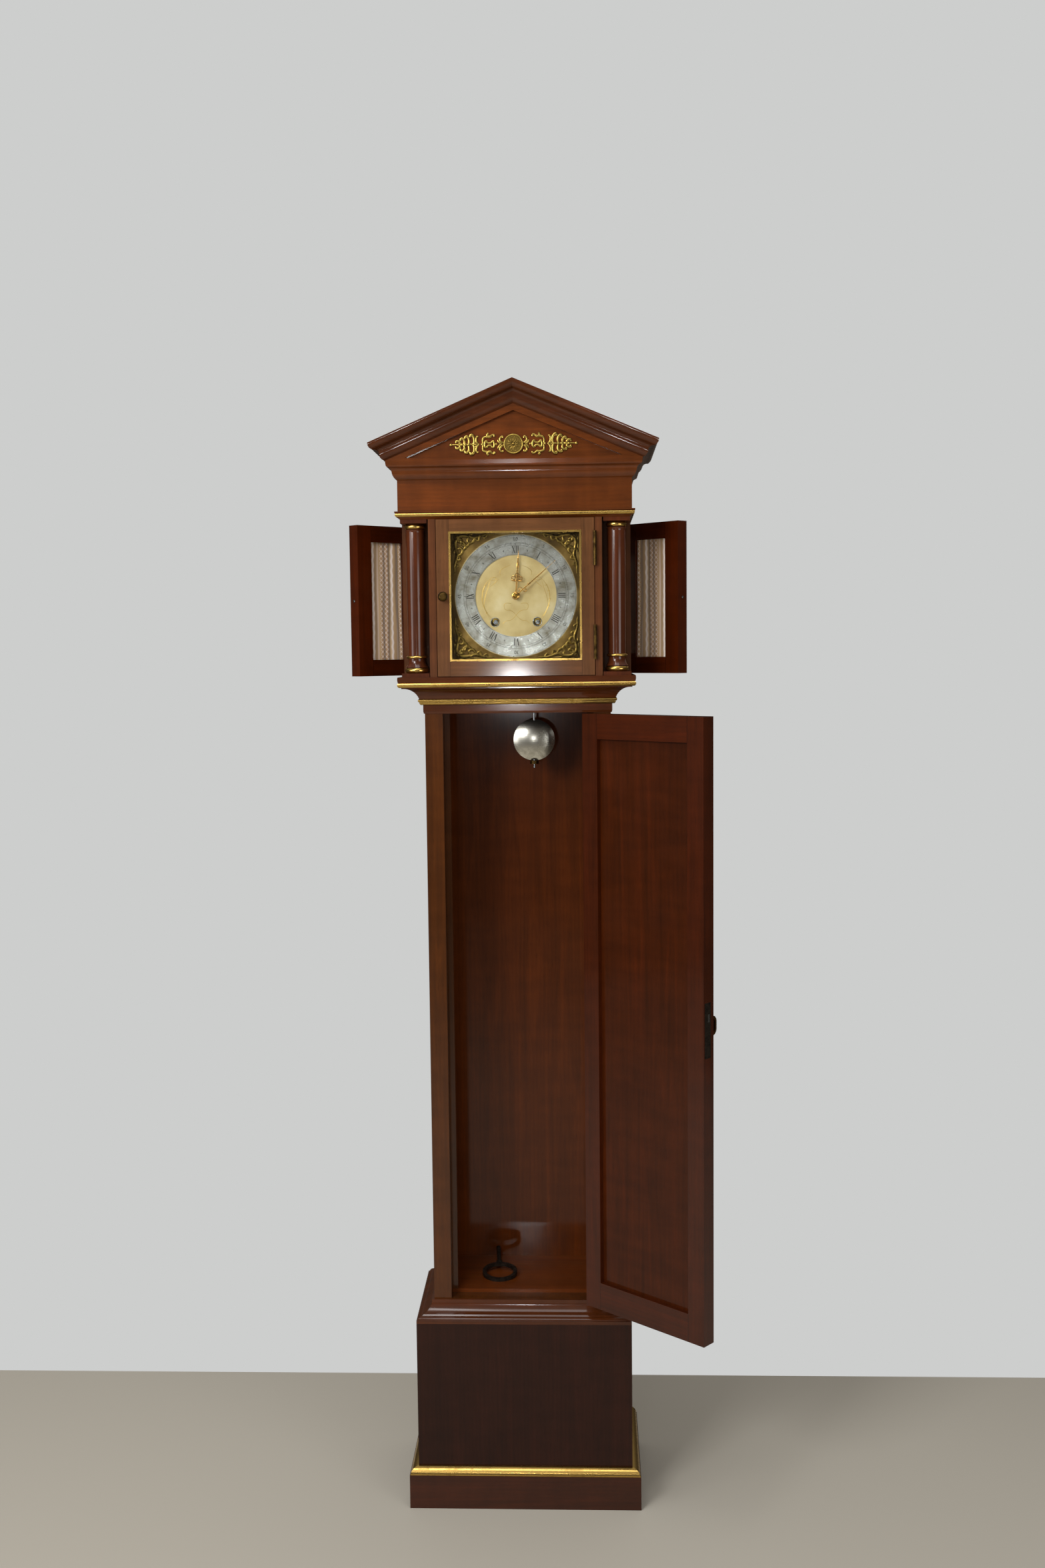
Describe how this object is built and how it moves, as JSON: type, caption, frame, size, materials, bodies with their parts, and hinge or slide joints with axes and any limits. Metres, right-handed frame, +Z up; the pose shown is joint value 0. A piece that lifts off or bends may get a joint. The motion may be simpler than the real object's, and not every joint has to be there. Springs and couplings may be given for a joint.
{
  "type": "mora clock",
  "caption": "Tall mahogany mora clock with pedimented hood, open doors, columns, roman dial and brass movement.",
  "frame": {"origin": "centre of the plinth's underside", "axes": "+X to the clock's right as seen from the front, +Y to the back, +Z up"},
  "size_m": [0.65, 0.4045, 2.045],
  "materials": {
    "mahogany": "french polished",
    "dark_mahogany": "aged",
    "gilding": "gilt, satin",
    "brass": "satin",
    "silvering": "silvered, tarnished",
    "steel": "satin",
    "iron": "dark",
    "glass": "clear",
    "cloth": "striped satin"
  },
  "bodies": {
    "case": {"plinth_skirt": "mahogany", "base_box": "mahogany", "shelf_boards": "dark_mahogany", "base_moulding": "mahogany", "trunk_sides": "mahogany", "trunk_front_frame": "mahogany", "backboard": "dark_mahogany", "neck_cavetto": "mahogany", "hood_ledge": "mahogany", "hood_frame": "mahogany", "columns": "mahogany", "entablature_soffit": "mahogany", "frieze": "mahogany", "cornice": "mahogany", "pediment_board": "mahogany", "pediment_mouldings": "mahogany", "roof_boards": "mahogany", "pediment_applique": "gilding", "gilt_mouldings": "gilding", "case_hinge_leaves": "brass", "seat_board": "dark_mahogany", "movement_frame": "brass", "dial_plate": "brass", "chapter_ring": "silvering", "dial_spandrels": "gilding", "bell": "brass"},
    "dial_door": {"dial_door_frame": "mahogany", "dial_glass": "glass", "dial_sight_frame": "gilding", "dial_door_fittings": "brass"},
    "side_door_left": {"side_door_left_frame": "mahogany", "side_door_left_fabric": "cloth", "side_door_left_fittings": "brass"},
    "side_door_right": {"side_door_right_frame": "mahogany", "side_door_right_fabric": "cloth", "side_door_right_fittings": "brass"},
    "trunk_door": {"trunk_door_frame": "mahogany", "trunk_door_panel": "mahogany", "trunk_door_fittings": "brass"},
    "lock_bolt": {"lock_bolt": "steel"},
    "trunk_key": {"trunk_key": "iron"},
    "pendulum": {"pendulum_rod": "steel", "pendulum_bob": "brass"},
    "rating_nut": {"rating_nut": "brass"},
    "anchor": {"anchor": "steel"},
    "centre_arbor": {"centre_wheel": "brass", "cannon_pinion": "brass", "minute_hand": "steel"},
    "going_barrel": {"going_barrel": "brass"},
    "third_wheel": {"third_wheel": "brass"},
    "escape_wheel": {"escape_wheel": "brass"},
    "minute_wheel": {"minute_wheel": "brass"},
    "hour_wheel": {"hour_wheel": "brass", "hour_hand": "steel"},
    "strike_barrel": {"strike_barrel": "brass"},
    "strike_pin_wheel": {"strike_pin_wheel": "brass"},
    "winding_arbor_going": {"winding_arbor_going": "steel"},
    "winding_arbor_strike": {"winding_arbor_strike": "steel"},
    "hammer": {"hammer": "steel"},
    "winding_key": {"winding_key": "iron"}
  },
  "joints": [
    {"name": "trunk_door_swing", "type": "hinge", "parent": "case", "child": "trunk_door", "pos_m": [0.135, -0.081, 0.925], "axis": [0, 0, 1], "range_deg": [-139, 25]},
    {"name": "dial_door_swing", "type": "hinge", "parent": "case", "child": "dial_door", "pos_m": [0.14, -0.1215, 1.675], "axis": [0, 0, 1], "range_deg": [0, 115]},
    {"name": "side_door_right_swing", "type": "hinge", "parent": "case", "child": "side_door_right", "pos_m": [0.2087, 0.089, 1.675], "axis": [0, 0, 1], "range_deg": [-46.5, 43.5]},
    {"name": "side_door_left_swing", "type": "hinge", "parent": "case", "child": "side_door_left", "pos_m": [-0.2087, 0.089, 1.675], "axis": [0, 0, 1], "range_deg": [-43.5, 46.5]},
    {"name": "trunk_key_turn", "type": "hinge", "parent": "trunk_door", "child": "trunk_key", "pos_m": [0.32199, -0.24818, 0.935], "axis": [-0.6561, -0.7547, 0], "range_deg": [0, 180]},
    {"name": "lock_bolt_slide", "type": "slide", "parent": "trunk_door", "child": "lock_bolt", "axis": [0.7547, -0.6561, 0], "range_m": [0, 0.008]},
    {"name": "pendulum_swing", "type": "hinge", "parent": "case", "child": "pendulum", "pos_m": [0.026, 0.026, 1.741], "axis": [0, 1, 0], "range_deg": [-3.5, 3.5]},
    {"name": "anchor_rock", "type": "hinge", "parent": "case", "child": "anchor", "pos_m": [0.026, -0.012, 1.741], "axis": [0, 1, 0], "range_deg": [-3.5, 3.5]},
    {"name": "rating_nut_turn", "type": "hinge", "parent": "pendulum", "child": "rating_nut", "pos_m": [0.026, 0.026, 1.372], "axis": [0, 0, 1], "continuous": true},
    {"name": "centre_arbor_turn", "type": "hinge", "parent": "case", "child": "centre_arbor", "pos_m": [0, -0.039, 1.676], "axis": [0, 1, 0], "continuous": true},
    {"name": "going_barrel_turn", "type": "hinge", "parent": "case", "child": "going_barrel", "pos_m": [0.0375, -0.03, 1.62999], "axis": [0, 1, 0], "continuous": true},
    {"name": "third_wheel_turn", "type": "hinge", "parent": "case", "child": "third_wheel", "pos_m": [-0.00128, -0.027, 1.70747], "axis": [0, 1, 0], "continuous": true},
    {"name": "escape_wheel_turn", "type": "hinge", "parent": "case", "child": "escape_wheel", "pos_m": [0.026, -0.013, 1.717], "axis": [0, 1, 0], "continuous": true},
    {"name": "minute_wheel_turn", "type": "hinge", "parent": "case", "child": "minute_wheel", "pos_m": [-0.018, -0.067, 1.676], "axis": [0, 1, 0], "continuous": true},
    {"name": "hour_wheel_turn", "type": "hinge", "parent": "case", "child": "hour_wheel", "pos_m": [0, -0.074, 1.676], "axis": [0, 1, 0], "continuous": true},
    {"name": "strike_barrel_turn", "type": "hinge", "parent": "case", "child": "strike_barrel", "pos_m": [-0.0375, -0.024, 1.62999], "axis": [0, 1, 0], "continuous": true},
    {"name": "strike_pin_wheel_turn", "type": "hinge", "parent": "case", "child": "strike_pin_wheel", "pos_m": [-0.0529, -0.02, 1.68731], "axis": [0, 1, 0], "continuous": true},
    {"name": "winding_arbor_going_turn", "type": "hinge", "parent": "case", "child": "winding_arbor_going", "pos_m": [0.0375, -0.04, 1.62999], "axis": [0, 1, 0], "continuous": true},
    {"name": "winding_arbor_strike_turn", "type": "hinge", "parent": "case", "child": "winding_arbor_strike", "pos_m": [-0.0375, -0.04, 1.62999], "axis": [0, 1, 0], "continuous": true},
    {"name": "hammer_lift", "type": "hinge", "parent": "case", "child": "hammer", "pos_m": [-0.058, -0.03, 1.735], "axis": [0, 1, 0], "range_deg": [-12, 0], "stiffness_Nm_per_rad": 0.05},
    {"name": "winding_key_lift", "type": "slide", "parent": "case", "child": "winding_key", "axis": [0, 0, 1], "range_m": [0, 0.15]}
  ],
  "couplings": [
    {"joint": "anchor_rock", "follows": "pendulum_swing", "ratio": 1},
    {"joint": "lock_bolt_slide", "follows": "trunk_key_turn", "m_per_rad": 0.0025465},
    {"joint": "going_barrel_turn", "follows": "centre_arbor_turn", "ratio": -0.11111},
    {"joint": "third_wheel_turn", "follows": "centre_arbor_turn", "ratio": -8},
    {"joint": "escape_wheel_turn", "follows": "centre_arbor_turn", "ratio": 60},
    {"joint": "minute_wheel_turn", "follows": "centre_arbor_turn", "ratio": -0.33333},
    {"joint": "hour_wheel_turn", "follows": "centre_arbor_turn", "ratio": 0.083333},
    {"joint": "strike_pin_wheel_turn", "follows": "strike_barrel_turn", "ratio": -9}
  ]
}
